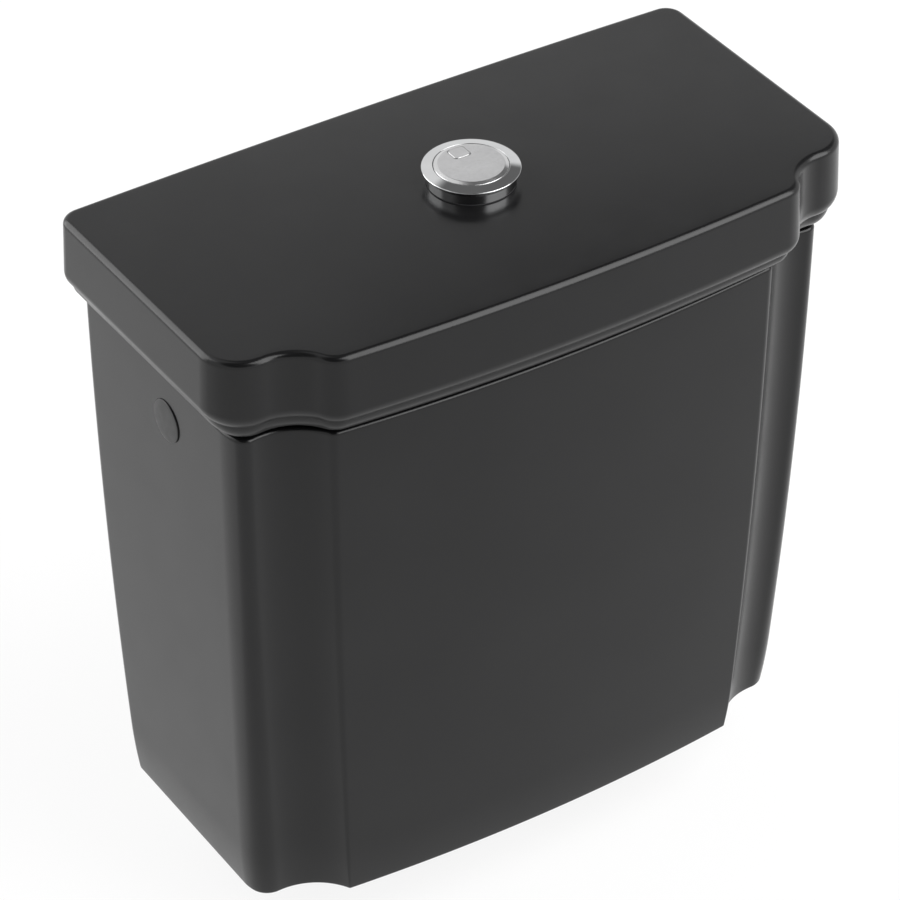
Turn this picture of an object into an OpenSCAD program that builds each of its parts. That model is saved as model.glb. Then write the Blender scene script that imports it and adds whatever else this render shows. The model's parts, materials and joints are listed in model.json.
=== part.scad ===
// Close-coupled toilet cistern: glazed tank and lid, two-button flush valve,
// side-entry fill valve, blanking plug and pan bolts.
// Millimetres. The origin is on the flush outlet's axis, level with the foot of
// the tank. +Z is up and +Y points to the wall behind the cistern.

/* [Tank] */
// Width of the tank at its rim
tank_w = 374; // [350:1:400]
// Height of the rim above the foot
tank_h = 329; // [310:1:350]
// Outlet axis to the back wall, at the rim
tank_back = 96.6; // [92:0.1:106]
// Outlet axis to the middle of the front, at the rim
tank_front = 93; // [90:0.1:99]
// Outlet axis to the deepest part of the scalloped corners, at the rim
corner_front = 66.1; // [62:0.1:70]
// Side of the tank to the centre of the scallop
corner_block = 15.6; // [13:0.1:18]
// Radius of the scallop between corner and front panel, at the rim
scallop_r = 35.4; // [32:0.1:39]
// Growth of the scallop's radius from rim to foot
scallop_growth = 0.8; // [0.4:0.1:2]
// Radius of the bowed front
front_bow = 1250; // [1000:10:1600]
// Radius of the two back corners
back_r = 8; // [5:0.5:12]
// Radius of the two front corners, at the rim
corner_r = 7.5; // [6:0.1:9]
// Growth of that radius from rim to foot
corner_growth = 6; // [4:0.1:8]
// Extra radius of the side's bend into the corner, at the rim
side_bend = 36; // [28:1:44]
// Loss of that extra radius from rim to foot
side_bend_loss = 22; // [16:1:26]
// Angle of the side's bend into the corner
bend_angle = 17; // [13:1:20]
// Radius of the front panel's upright edges, at the rim
edge_r = 6.5; // [5:0.1:8]
// Loss of that radius from rim to foot
edge_loss = 4; // [1:0.1:4.5]
// Inset of each side from rim to foot
side_taper = 9; // [6:0.1:11]
// Inset of the front from rim to foot
front_taper = 9.4; // [6:0.1:12]
// Inset of the scalloped corners from rim to foot
corner_taper = 9.2; // [7:0.1:12]
// Inset of the back from rim to foot
back_taper = 11.8; // [8:0.1:14]
// Share of the taper that is curved, as the walls swell outwards
wall_bulge = 0.77; // [0.5:0.01:0.9]
// Height over which the foot is rounded in
base_round_h = 33; // [26:1:40]
// Inset of the rounded foot
base_round = 1.5; // [0.8:0.1:3]
// Thickness of the walls
wall_t = 9; // [8:0.25:10.5]
// Thickness of the floor
floor_t = 11; // [9:0.5:13]
// Height of the foot under the floor
foot_h = 14; // [13:0.5:18]
// Width of the foot that sits on the pan
foot_w = 10; // [8:0.5:13]
// Radius of the rim's edges
rim_round = 2.5; // [2:0.1:3]
// Radius between floor and walls, inside
floor_fillet = 12; // [9:0.5:16]

/* [Tank holes] */
// Radius of the outlet hole in the floor
outlet_hole_r = 32; // [31:0.25:34]
// Distance between the two pan bolts
bolt_spacing = 150; // [140:1:170]
// Radius of the bolt holes
bolt_hole_r = 5; // [4.5:0.1:6]
// Drop of the side holes below the rim
inlet_drop = 30; // [29:0.5:36]
// Distance of the side holes behind the outlet axis
inlet_y = 7; // [4:0.5:12]
// Radius of the side holes
side_hole_r = 9; // [8.7:0.1:10]
// Distance between the two wall screw holes
screw_spacing = 250; // [220:1:280]
// Drop of the wall screw holes below the rim
screw_drop = 40; // [30:1:60]
// Radius of the wall screw holes
screw_hole_r = 3.5; // [3:0.1:4.5]

/* [Lid] */
// Overhang of the lid at the sides
lid_over_side = 13.2; // [12:0.1:16]
// Overhang at the front
lid_over_front = 13.7; // [12:0.1:16]
// Overhang at the scalloped corners
lid_over_corner = 12.3; // [10:0.1:14]
// Overhang at the back
lid_over_back = 1.4; // [1:0.1:4]
// Side of the lid to the centre of its scallop
lid_corner_block = 26; // [24:0.5:29]
// Radius of the lid's scallop
lid_scallop_r = 26; // [23:0.5:29]
// Radius of the lid's bowed front
lid_bow = 1500; // [1200:10:1800]
// Radius of the lid's back corners
lid_back_r = 12; // [9:0.5:15]
// Radius of the lid's front corners
lid_corner_r = 25.5; // [22:0.5:28]
// Radius of the lid's front panel edges
lid_edge_r = 18; // [15:0.5:21]
// Gap between rim and lid
lid_gap = 4; // [3:0.25:5]
// Height of the lid from its lowest bead to its top edge
lid_h = 51; // [46:0.5:60]
// Rise of the top's edges from the sides to the middle
lid_crown = 2.3; // [1:0.1:4]
// Further rise of the top from its edges to the middle
lid_dome = 1.35; // [0.5:0.05:2]
// Radius of the top edge
lid_round = 3.8; // [3:0.1:5]
// Lean of the outer face, wider at the bottom
lid_flare = 1; // [0.5:0.1:2]
// Radius of the lower edge
lower_round = 10.5; // [9:0.25:13]
// Flat step between lower edge and bead
bead_step = 0.6; // [0.4:0.1:1.6]
// Height of the bead under the lower edge
bead_h = 10; // [8:0.2:12]
// Thickness of the lid's top
lid_t = 11; // [9:0.5:13]
// Depth of the locating lip below the rim
lip_h = 8; // [5:0.5:12]
// Thickness of the locating lip
lip_t = 7; // [5:0.25:9]
// Gap between lip and wall
lip_clear = 1.5; // [0.75:0.25:2.5]
// Radius of the lid's rubber buffers
buffer_r = 2.6; // [2:0.1:2.8]

/* [Button] */
// Radius of the bezel's rim
bezel_rim_r = 26.8; // [26:0.1:30]
// Radius of the bezel's side wall
bezel_side_r = 24.4; // [23.5:0.1:25.4]
// Height of the bezel's rim above the lid
bezel_rim_h = 9; // [8:0.1:10]
// Rise of the bezel's bevel from rim to bore
bevel_h = 1.1; // [0.6:0.1:1.6]
// Radius of the large button
disc_r = 20.3; // [19.8:0.1:20.8]
// Thickness of the large button
disc_t = 4; // [3.4:0.1:4.6]
// Travel of both buttons
press_travel = 4; // [3.5:0.1:4.3]
// Width of the small button
half_w_x = 9.8; // [9.2:0.1:11]
// Depth of the small button
half_w_y = 9.2; // [8.7:0.1:9.6]
// Distance of the small button behind the axis
half_y = 11.9; // [11.6:0.1:12.9]
// Radius of the lid's button hole
button_hole_r = 20; // [19.8:0.1:20.6]
// Radius of the bezel's threaded neck
neck_r = 19.5; // [19:0.1:19.6]
// Bore of the bezel's neck
neck_bore_r = 16.5; // [16.4:0.1:17]
// Length of the neck below the lid's top
neck_below = 24; // [20:0.5:30]
// Radius of the push rods
rod_r = 2.5; // [2.2:0.1:2.6]
// Turns of each button spring
spring_turns = 8; // [5:1:9]
// Radius of the spring's coil
spring_r = 4.2; // [3.9:0.1:4.4]
// Radius of the spring's wire
spring_wire_r = 0.5; // [0.4:0.05:0.6]

/* [Flush valve] */
// Radius of the valve's threaded tail
tail_r = 29.8; // [29:0.1:30.5]
// Bore of the tail
tail_bore_r = 26; // [25:0.1:26.5]
// Length of the tail below the foot
tail_l = 38; // [34:0.5:44]
// Length of the tail's plain end
tail_end_l = 14; // [10:0.5:16]
// Radius of the valve's flange
flange_r = 43; // [42:0.5:46]
// Height of the seat above the flange
seat_h = 5; // [4:0.25:7]
// Outer radius of the valve tower
tower_r = 40; // [39:0.5:42]
// Height of the tower's windows
cage_h = 82; // [70:1:95]
// Radius of the overflow tube
tube_r = 16; // [15:0.25:17]
// Wall of the overflow tube
tube_wall = 2; // [1.5:0.1:3]
// Drop of the rocker pins below the rim
rocker_drop = 26; // [22:0.5:32]
// Thickness of the rockers
rocker_t = 6; // [5:0.25:7]
// Width of the rockers
rocker_w = 5; // [4.5:0.1:5.2]
// Rocker pin to push rod
push_arm = 16; // [15:0.25:17]
// Rocker pin to lifting bar
lift_arm = 25; // [24:0.25:27]
// Radius of the rocker pins
rocker_pin_r = 2; // [1.75:0.05:2.25]
// Drop of the tower's top below the rim
tower_drop = 108; // [100:1:120]

/* [Fill valve] */
// Radius of the threaded inlet shank
shank_r = 8.3; // [8:0.1:8.6]
// Bore of the shank
shank_bore_r = 5.5; // [5:0.1:6]
// Length of shank outside the nut
shank_free_l = 16; // [12:0.5:20]
// Distance of the fill valve's head from the wall
head_reach = 48; // [46:0.5:56]
// Radius of the head
head_r = 15; // [14:0.25:16]
// Radius of the float
float_r = 30; // [28:0.5:32]
// Height of the float
float_h = 50; // [40:1:60]
// Drop of the float's top below the inlet
float_drop = 48; // [44:0.5:56]
// Travel of the float
float_travel = 12; // [8:0.5:13]
// Length of the fill tube below the head
fill_tube_l = 160; // [140:1:175]
// Radius of the fill tube
fill_tube_r = 7; // [6:0.25:8]
// Lever pin to adjuster rod
lever_arm = 34; // [32:0.5:36]

/* [Fasteners] */
// Radius of the pan bolts
bolt_r = 4; // [3.5:0.1:4.3]
// Length of the pan bolts below the foot
bolt_drop = 45; // [35:1:55]
// Radius of the blanking plug's cap
plug_r = 12.5; // [11.6:0.1:13]
// Height of the plug's cap
plug_t = 1.4; // [1:0.1:2]

/* [Clearances] */
// Gap around pieces that slide
slide_gap = 0.3; // [0.25:0.05:0.4]
// Gap around pins and threads
pin_gap = 0.05; // [0.04:0.01:0.08]
// Gap between rod and rocker, and between bar and rocker
touch_gap = 0.3; // [0.25:0.05:0.4]

/* [Hidden] */
$fn = 64;
// Overshoot of cutting tools
over = 1;

// Colours
glaze = [0.1, 0.1, 0.105];
chrome = [0.78, 0.79, 0.8];
rubber = [0.07, 0.07, 0.075];
white_plastic = [0.86, 0.87, 0.87];
blue_plastic = [0.25, 0.42, 0.62];
grey_plastic = [0.5, 0.52, 0.54];
brass = [0.72, 0.58, 0.3];
steel = [0.62, 0.63, 0.64];

// An outline is a list of its half width, back, scallop's depth, front, scallop's
// centre, scallop radius, bow radius, back corner, front corner, edge radius and
// side's bend.
half_w = tank_w / 2;
rim_line = [
    half_w, tank_back, corner_front, tank_front, half_w - corner_block,
    scallop_r, front_bow, back_r, corner_r, edge_r, side_bend
];
foot_line = [
    half_w - side_taper, tank_back - back_taper, corner_front - corner_taper,
    tank_front - front_taper, half_w - side_taper - corner_block,
    scallop_r + scallop_growth, front_bow, back_r, corner_r + corner_growth,
    edge_r - edge_loss, side_bend - side_bend_loss
];
lid_half_w = half_w + lid_over_side;
lid_line = [
    lid_half_w, tank_back + lid_over_back, corner_front + lid_over_corner,
    tank_front + lid_over_front, lid_half_w - lid_corner_block,
    lid_scallop_r, lid_bow, lid_back_r, lid_corner_r, lid_edge_r, 0
];
// Least radius of corners outside and inside the walls
outer_least_r = 1;
inner_least_r = 6;

// Heights of tank and lid
floor_z = foot_h + floor_t;
inlet_z = tank_h - inlet_drop;
screw_z = tank_h - screw_drop;
lid_z = tank_h + lid_gap;
lid_edge_z = lid_z + lid_h;
lid_top_z = lid_edge_z + lid_crown + lid_dome;
lid_under_z = lid_edge_z - lid_t;
lid_inner_fillet = 8;
lip_inset = wall_t + lip_clear;

// Heights of the button
seat_cut = 0.2;
gasket_t = 0.6;
bezel_flange_t = 2.2;
stop_gap = 0.4;
bezel_z = lid_top_z - seat_cut + gasket_t;
cup_z = bezel_z + bezel_flange_t;
disc_z = cup_z + press_travel + stop_gap;
disc_top_z = disc_z + disc_t;
bezel_rim_z = lid_top_z + bezel_rim_h;
bezel_bore_r = disc_r + slide_gap;
neck_end_z = lid_under_z - neck_below;
neck_plate_t = 2;
bezel_nut_t = 8;
bezel_nut_r = 26;
collar_r = 4.8;
collar_t = 3;
collar_top_z = disc_z - press_travel - collar_t;
half_corner_r = 2;
half_proud = 0.2;

// Flush valve on the outlet axis
base_gasket_t = 3;
flange_z = floor_z + base_gasket_t;
flange_t = 5;
flange_top_z = flange_z + flange_t;
seat_z = flange_top_z + seat_h;
seat_wall = 4;
seat_r = tail_bore_r + seat_wall;
seal_t = 3.5;
seal_over = 0.5;
seal_r = seat_r + seal_over;
clamp_t = 4;
clamp_gap = 2;
clamp_r = tail_bore_r - clamp_gap;
tube_foot_t = 4;
tower_foot_h = 10;
cage_z = flange_top_z + tower_foot_h + cage_h;
tower_collar_t = 6;
tower_top_z = tank_h - tower_drop;
sleeve_r = tube_r + slide_gap;
sleeve_wall = 3.7;
leg_w = 9;
leg_t = 6;
tower_foot_gap = 1.5;
float_room = 4;
full_float_r = tower_r - leg_t - float_room;
full_float_h = 41;
back_nut_t = 12;
back_nut_r = 41;
seat_lip = 1.4;
tail_end_r = tail_r - seat_lip;

// Rockers: one beside the other, each turning on its own pin
rocker_z = tank_h - rocker_drop;
rocker_gap = 1;
full_x = 4;
half_x = full_x - rocker_w - rocker_gap;
full_rod_y = -8;
half_rod_y = 11;
full_pin_y = full_rod_y + push_arm;
half_pin_y = half_rod_y - push_arm;
full_bar_y = full_pin_y + lift_arm;
half_bar_y = half_pin_y - lift_arm;
rocker_boss_r = 5.5;
rocker_end = 4;
rod_tip_z = rocker_z + rocker_t / 2 + touch_gap;
bar_r = 2.2;
bar_z = rocker_z + rocker_t / 2 + touch_gap + bar_r;
ear_t = 4;
ear_gap = 0.5;
ear_half = 5;
ear_h = 13;
bridge_z = rocker_z - ear_h;
bridge_t = 6;
bridge_half_y = 14;
post_in = 23;
post_out = 28;
post_half = 6;
tube_headroom = 22;
tube_top_z = bridge_z - bridge_t - tube_headroom;
strap_gap = 1;
strap_t = 2.5;
strap_half = 3;
strap_above = 3;
yoke_h = 8;
yoke_ring_t = 3;
strap_drop = 10;
link_w = 4;
half_float_size = [26, 16, 42];
half_float_room = 12.5;
half_float_z = tower_top_z - tower_collar_t - half_float_room - half_float_size[2];
half_float_corner = 2;

// Side fittings, on flat spots of the left and right walls
spot_margin = 0.3;
fitting_seal_t = 2;
fitting_flange_t = 4;
fitting_r = 12;
inlet_nut_t = 8;
nut_margin = 2;
side_nut_r = fitting_r + nut_margin;
seal_spot_r = fitting_r + spot_margin;
plug_spot_r = plug_r + spot_margin;
nut_spot_r = side_nut_r + spot_margin;
spot_in_x = inner_line(inlet_z + seal_spot_r)[0];
plug_x = outer_line(inlet_z - plug_spot_r)[0];
nut_x = outer_line(inlet_z - nut_spot_r)[0];
thread_relief = 0.3;
shank_end_r = shank_r - thread_relief;
barrel_r = 9;
barrel_cover = 2;
head_x = spot_in_x - head_reach;
head_up = barrel_r + barrel_cover;
head_down = 16;
head_top_z = inlet_z + head_up;
head_low_z = inlet_z - head_down;
cap_wall = 1.5;
cap_h = 7;
diaphragm_t = 1.8;
lever_rise = 5;
lever_z = head_top_z + cap_h + lever_rise;
lever_t = 4;
lever_half = 4;
lever_pin_r = 1.5;
lever_offset = 10;
lever_x = head_x + lever_offset;
lever_ear_t = 3.5;
lever_ear_half = 4;
rod_x = lever_x - lever_arm;
adjuster_r = 1.6;
adjuster_head_r = 4;
adjuster_head_t = 3;
lever_slot = 2.2;
lever_slot_start = 7;
lever_end = 5;
float_top_z = inlet_z - float_drop;
float_wall = 2;
fill_tube_wall = 2;
tube_slit_w = 3;
tube_slit_h = 18;
tube_slit_low = 4;

// Pan bolts
bolt_seal_t = 4;
bolt_washer_t = 1.5;
bolt_washer_r = 10;
bolt_head_r = 8;
bolt_head_t = 5.5;
bolt_nut_t = 6.5;
bolt_head_z = floor_z + bolt_seal_t + bolt_washer_t;
bolt_nut_z = foot_h - bolt_washer_t - bolt_nut_t;
// The free end under the nut is a little thinner than the shank
bolt_relief = 0.2;
bolt_end_r = bolt_r - bolt_relief;
bolt_free = 2;
bolt_step_z = bolt_nut_z - bolt_free;

// Steps in each stretch of an outline
back_steps = 5;
corner_steps = 4;
bend_steps = 2;
scallop_steps = 7;
edge_steps = 3;
bow_steps = 6;

function mix(a, b, t) = a + (b - a) * t;

function arc(centre, r, from, to, steps) =
    [for (k = [0 : steps]) centre + r * [cos(mix(from, to, k / steps)), sin(mix(from, to, k / steps))]];

// An outline moved inwards by a distance
function inset(o, d, least = outer_least_r) = [
    o[0] - d, o[1] - d, o[2] - d, o[3] - d, o[4], o[5] + d, o[6] - d,
    max(o[7] - d, least), max(o[8] - d, least), max(o[9] - d, least), o[10]
];

// Points of an outline's right half, from the middle of the back to the middle of the front
function half_points(o) =
    let (
        scallop = [o[4], -o[2] - o[5]],
        corner_x = o[0] - o[8] - o[10] * (1 - cos(bend_angle)),
        corner_rise = sqrt(pow(o[5] + o[8], 2) - pow(corner_x - o[4], 2)),
        corner = [corner_x, scallop[1] + corner_rise],
        to_scallop = atan2(-corner_rise, o[4] - corner_x),
        bend = [o[0] - o[8] - o[10], corner[1] + o[10] * sin(bend_angle)],
        bow = [0, o[6] - o[3]],
        reach = o[5] + o[9],
        depth = o[6] - o[9],
        span = norm(bow - scallop),
        along = (reach * reach - depth * depth + span * span) / (2 * span),
        across = sqrt(reach * reach - along * along),
        unit = (bow - scallop) / span,
        edge = scallop + along * unit + across * [-unit[1], unit[0]],
        to_edge = atan2(edge[1] - scallop[1], edge[0] - scallop[0]),
        to_front = atan2(edge[1] - bow[1], edge[0] - bow[0])
    )
    concat(
        [for (k = [0 : back_steps - 1]) [(o[0] - o[7]) * k / back_steps, o[1]]],
        arc([o[0] - o[7], o[1] - o[7]], o[7], 90, 0, corner_steps),
        arc(bend, o[8] + o[10], 0, -bend_angle, bend_steps),
        [for (k = [1 : corner_steps]) corner + o[8] * [
            cos(mix(-bend_angle, to_scallop, k / corner_steps)),
            sin(mix(-bend_angle, to_scallop, k / corner_steps))
        ]],
        [for (k = [1 : scallop_steps]) scallop + o[5] * [
            cos(mix(to_scallop + 180, to_edge, k / scallop_steps)),
            sin(mix(to_scallop + 180, to_edge, k / scallop_steps))
        ]],
        [for (k = [1 : edge_steps]) edge + o[9] * [
            cos(mix(to_edge - 180, to_front, k / edge_steps)),
            sin(mix(to_edge - 180, to_front, k / edge_steps))
        ]],
        [for (k = [1 : bow_steps]) bow + o[6] * [
            cos(mix(to_front, -90, k / bow_steps)),
            sin(mix(to_front, -90, k / bow_steps))
        ]]
    );

// All points of an outline, clockwise from above
function outline(o) =
    let (right = half_points(o), last = len(right) - 1)
    concat(right, [for (k = [last - 1 : -1 : 1]) [-right[k][0], right[k][1]]]);

function ring_at(o, z) = [for (p = outline(o)) [p[0], p[1], z]];

// A ring on the lid's rounded top, drawn in towards the middle by a share
function crowned_ring(o, z, share = 1) =
    [for (p = outline(o)) [
        p[0] * share, p[1] * share,
        z + lid_crown * (1 - pow(p[0] * share / lid_half_w, 2)) + lid_dome * (1 - share * share)
    ]];

// Share of the walls' taper at a height
function taper_at(z) = let (s = 1 - z / tank_h) (1 - wall_bulge) * s + wall_bulge * s * s;
function wall_line(z) = mix(rim_line, foot_line, taper_at(z));
function outer_line(z) = inset(wall_line(z), base_round * pow(max(0, 1 - z / base_round_h), 2));
function inner_line(z) = inset(wall_line(z), wall_t, inner_least_r);

// Skin through a list of rings, from the middle of the first to the middle of the last
module loft(rings, first_z, last_z) {
    count = len(rings[0]);
    total = len(rings);
    first = total * count;
    points = concat([for (r = rings) each r], [[0, 0, first_z], [0, 0, last_z]]);
    sides = [for (j = [0 : total - 2], k = [0 : count - 1])
        let (a = j * count + k, b = j * count + (k + 1) % count)
        each [[a, a + count, b + count], [a, b + count, b]]];
    top = [for (k = [0 : count - 1]) [first, k, (k + 1) % count]];
    low = (total - 1) * count;
    bottom = [for (k = [0 : count - 1]) [first + 1, low + (k + 1) % count, low + k]];
    polyhedron(points, concat(sides, top, bottom), convexity = 10);
}

module ring(r_out, r_in, low, high) {
    translate([0, 0, low])
        difference() {
            cylinder(r = r_out, h = high - low);
            translate([0, 0, -over]) cylinder(r = r_in, h = high - low + 2 * over);
        }
}

module block(low, high) {
    translate(low) cube(high - low);
}

// Square with rounded corners, about its centre
module rounded_square(w, d, r) {
    square([w - 2 * r, d], center = true);
    square([w, d - 2 * r], center = true);
    for (x = [-1, 1], y = [-1, 1])
        translate([x * (w / 2 - r), y * (d / 2 - r)]) circle(r);
}

// Places its children at a side fitting, with their Z along the wall's outward normal
module at_side(side, x) {
    translate([side * x, inlet_y, inlet_z]) rotate([0, side * 90, 0]) children();
}

module at_bolts() {
    for (side = [-1, 1]) translate([side * bolt_spacing / 2, 0, 0]) children();
}

// Tank
floor_angles = [0, 30, 60, 90];
rim_angles = [0, 30, 60, 90];
inner_shares = [0.25, 0.5, 0.75];
outer_shares = [0.2, 0.4, 0.6, 0.8, 1];
base_shares = [0.7, 0.45, 0.22, 0.09];
foot_edge = 1.2;
recess_draft = 2;

function tank_rings() =
    let (
        wall_low = floor_z + floor_fillet,
        wall_high = tank_h - rim_round,
        foot = outer_line(0)
    )
    concat(
        [for (a = floor_angles) ring_at(
            inset(inner_line(floor_z), floor_fillet * (1 - sin(a)), inner_least_r),
            floor_z + floor_fillet * (1 - cos(a))
        )],
        [for (s = inner_shares) let (z = mix(wall_low, wall_high, s)) ring_at(inner_line(z), z)],
        [ring_at(inner_line(wall_high), wall_high)],
        [ring_at(inset(wall_line(tank_h), wall_t - rim_round, inner_least_r), tank_h)],
        [for (a = rim_angles) ring_at(
            inset(wall_line(wall_high), rim_round * (1 - sin(a))),
            tank_h - rim_round * (1 - cos(a))
        )],
        [for (s = outer_shares) let (z = mix(wall_high, base_round_h, s)) ring_at(outer_line(z), z)],
        [for (s = base_shares) ring_at(outer_line(base_round_h * s), base_round_h * s)],
        [ring_at(inset(foot, foot_edge), 0)],
        [ring_at(inset(foot, foot_w, inner_least_r), 0)],
        [ring_at(inset(foot, foot_w + recess_draft, inner_least_r), foot_h)]
    );

module tank() {
    color(glaze)
        difference() {
            loft(tank_rings(), floor_z, foot_h);
            translate([0, 0, -over]) cylinder(r = outlet_hole_r, h = floor_z + 2 * over);
            at_bolts() translate([0, 0, -over]) cylinder(r = bolt_hole_r, h = floor_z + 2 * over);
            for (side = [-1, 1]) {
                at_side(side, spot_in_x - wall_t) cylinder(r = side_hole_r, h = 3 * wall_t);
                at_side(side, spot_in_x - wall_t) cylinder(r = seal_spot_r, h = wall_t);
                translate([side * screw_spacing / 2, tank_back - 3 * wall_t, screw_z])
                    rotate([-90, 0, 0]) cylinder(r = screw_hole_r, h = 4 * wall_t);
            }
            at_side(-1, plug_x) cylinder(r = plug_spot_r, h = wall_t);
            at_side(1, nut_x) cylinder(r = nut_spot_r, h = wall_t);
        }
}

// Lid
top_shares = [0.35, 0.7];
edge_angles = [0, 22.5, 45, 67.5, 90];
lower_end = 52;
lower_angles = [0, lower_end / 3, lower_end * 2 / 3, lower_end];
bead_angles = [0, 30, 60, 90];

// Outline of the lid's lower moulding, which runs in from the face to the tank's rim
function moulding(d) = mix(lid_line, rim_line, d / lid_over_side);

function lid_rings() =
    let (
        bead_z = lid_z + bead_h,
        bead_in = lower_round * (1 - cos(lower_end)) + bead_step,
        bead_w = lid_over_side - bead_in,
        lower_z = bead_z + lower_round * sin(lower_end)
    )
    concat(
        [for (s = top_shares) crowned_ring(inset(lid_line, lid_flare + lid_round), lid_edge_z, s)],
        [for (a = edge_angles) crowned_ring(
            inset(lid_line, lid_flare + lid_round * (1 - sin(a))),
            lid_edge_z - lid_round * (1 - cos(a))
        )],
        [for (a = lower_angles) ring_at(moulding(lower_round * (1 - cos(a))), lower_z - lower_round * sin(a))],
        [for (a = bead_angles) ring_at(
            moulding(bead_in + bead_w * (1 - cos(a))),
            bead_z - bead_h * sin(a)
        )],
        [ring_at(inset(rim_line, lip_inset, inner_least_r), lid_z)],
        [ring_at(inset(rim_line, lip_inset, inner_least_r), tank_h - lip_h)],
        [ring_at(inset(rim_line, lip_inset + lip_t, inner_least_r), tank_h - lip_h)],
        [for (a = floor_angles) ring_at(
            inset(rim_line, lip_inset + lip_t + lid_inner_fillet * (1 - cos(a)), inner_least_r),
            lid_under_z - lid_inner_fillet * (1 - sin(a))
        )]
    );

module lid() {
    color(glaze)
        difference() {
            loft(lid_rings(), lid_top_z, lid_under_z);
            translate([0, 0, lid_under_z - over]) cylinder(r = button_hole_r, h = lid_top_z - lid_under_z + 2 * over);
            translate([0, 0, lid_top_z - seat_cut]) cylinder(r = bezel_side_r, h = over);
        }
}

// Four pads between lid and rim, two along each side wall
module lid_buffers() {
    buffer_x = half_w - mix(rim_round, wall_t - rim_round, 0.5);
    color(rubber)
        for (x = [-1, 1], y = [tank_back / 2, -corner_front / 2])
            translate([x * buffer_x, y, tank_h]) cylinder(r = buffer_r, h = lid_gap);
}

// Button set in the lid
module button_bezel() {
    flare_low = 3.2;
    rim_edge = 1;
    color(chrome) {
        rotate_extrude()
            polygon([
                [neck_bore_r, neck_end_z], [neck_r, neck_end_z], [neck_r, bezel_z], [bezel_side_r, bezel_z],
                [bezel_side_r, bezel_rim_z - flare_low], [bezel_rim_r, bezel_rim_z - rim_edge],
                [bezel_rim_r, bezel_rim_z], [bezel_bore_r, bezel_rim_z + bevel_h],
                [bezel_bore_r, cup_z], [neck_bore_r, cup_z]
            ]);
        difference() {
            translate([0, 0, neck_end_z]) cylinder(r = neck_bore_r + over, h = neck_plate_t);
            translate([full_x, full_rod_y, neck_end_z - over])
                cylinder(r = rod_r + slide_gap, h = neck_plate_t + 2 * over);
            translate([half_x, half_rod_y, neck_end_z - over])
                cylinder(r = rod_r + slide_gap, h = neck_plate_t + 2 * over);
        }
    }
}

module bezel_gasket() {
    color(rubber) ring(bezel_side_r - seat_cut, button_hole_r, lid_top_z - seat_cut, bezel_z);
}

// Round nut with lugs around it, its top face at a height
module lugged_nut(r, bore_r, lugs, lug_out, top, t) {
    lug_w = 5;
    low = top - t;
    difference() {
        union() {
            translate([0, 0, low]) cylinder(r = r, h = t);
            for (k = [0 : lugs - 1])
                rotate([0, 0, 360 * k / lugs])
                    block([r - lug_w, -lug_w / 2, low], [r + lug_out, lug_w / 2, top]);
        }
        translate([0, 0, low - over]) cylinder(r = bore_r, h = t + 2 * over);
    }
}

module bezel_nut() {
    wing = 5;
    color(white_plastic)
        lugged_nut(bezel_nut_r, neck_r + pin_gap, 4, wing, lid_under_z, bezel_nut_t);
}

module full_flush_button() {
    edge_w = 2.1;
    edge_h = 0.9;
    color(chrome)
        difference() {
            rotate_extrude()
                polygon([
                    [0, disc_z], [disc_r, disc_z], [disc_r, disc_top_z - edge_h],
                    [disc_r - edge_w, disc_top_z], [0, disc_top_z]
                ]);
            translate([0, half_y, disc_z - over])
                linear_extrude(disc_t + 2 * over)
                    rounded_square(half_w_x + 2 * slide_gap, half_w_y + 2 * slide_gap, half_corner_r);
        }
}

module half_flush_button() {
    color(chrome)
        translate([0, half_y, disc_z])
            linear_extrude(disc_t + half_proud) rounded_square(half_w_x, half_w_y, half_corner_r);
}

// Push rod with a domed tip and a collar for its spring
module push_rod(x, y) {
    translate([x, y, 0]) {
        translate([0, 0, rod_tip_z + rod_r]) {
            sphere(r = rod_r);
            cylinder(r = rod_r, h = disc_z - rod_tip_z - rod_r);
        }
        translate([0, 0, collar_top_z - collar_t]) cylinder(r = collar_r, h = collar_t);
    }
}

module full_flush_rod() {
    color(white_plastic) push_rod(full_x, full_rod_y);
}

module half_flush_rod() {
    color(white_plastic) push_rod(half_x, half_rod_y);
}

// Coil spring as one tube: rings of points along a helix
spring_rings = 8;
spring_sides = 6;
spring_gap = 0.1;
spring_low = neck_end_z + neck_plate_t + spring_wire_r + spring_gap;
spring_high = collar_top_z - collar_t - spring_wire_r - spring_gap;
spring_pitch = (spring_high - spring_low) / spring_turns;
spring_lead = atan(spring_pitch / (2 * PI * spring_r));
spring_count = spring_turns * spring_rings;

function spring_centre(k) =
    let (a = 360 * k / spring_rings)
    [spring_r * cos(a), spring_r * sin(a), spring_low + spring_pitch * k / spring_rings];

function spring_point(k, b) =
    let (
        a = 360 * k / spring_rings,
        across = [cos(a), sin(a), 0],
        up = [sin(a) * sin(spring_lead), -cos(a) * sin(spring_lead), cos(spring_lead)]
    )
    spring_centre(k) + spring_wire_r * (cos(b) * across + sin(b) * up);

// Least gap between turns, over points more than half a turn apart
spring_least_gap = min([for (i = [0 : spring_count], j = [i + spring_rings / 2 + 1 : spring_count])
    norm(spring_centre(i) - spring_centre(j))]) - 2 * spring_wire_r;
echo(spring_least_gap = spring_least_gap);

module coil_spring() {
    n = spring_sides;
    points = [for (k = [0 : spring_count], b = [0 : n - 1]) spring_point(k, 360 * b / n)];
    sides = [for (k = [0 : spring_count - 1], b = [0 : n - 1])
        let (p = k * n + b, q = k * n + (b + 1) % n)
        each [[p, q, q + n], [p, q + n, p + n]]];
    start = [for (b = [1 : n - 2]) [0, b + 1, b]];
    last = spring_count * n;
    end = [for (b = [1 : n - 2]) [last, last + b, last + b + 1]];
    polyhedron(points, concat(sides, start, end), convexity = 10);
}

module full_flush_spring() {
    color(steel) translate([full_x, full_rod_y, 0]) coil_spring();
}

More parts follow.
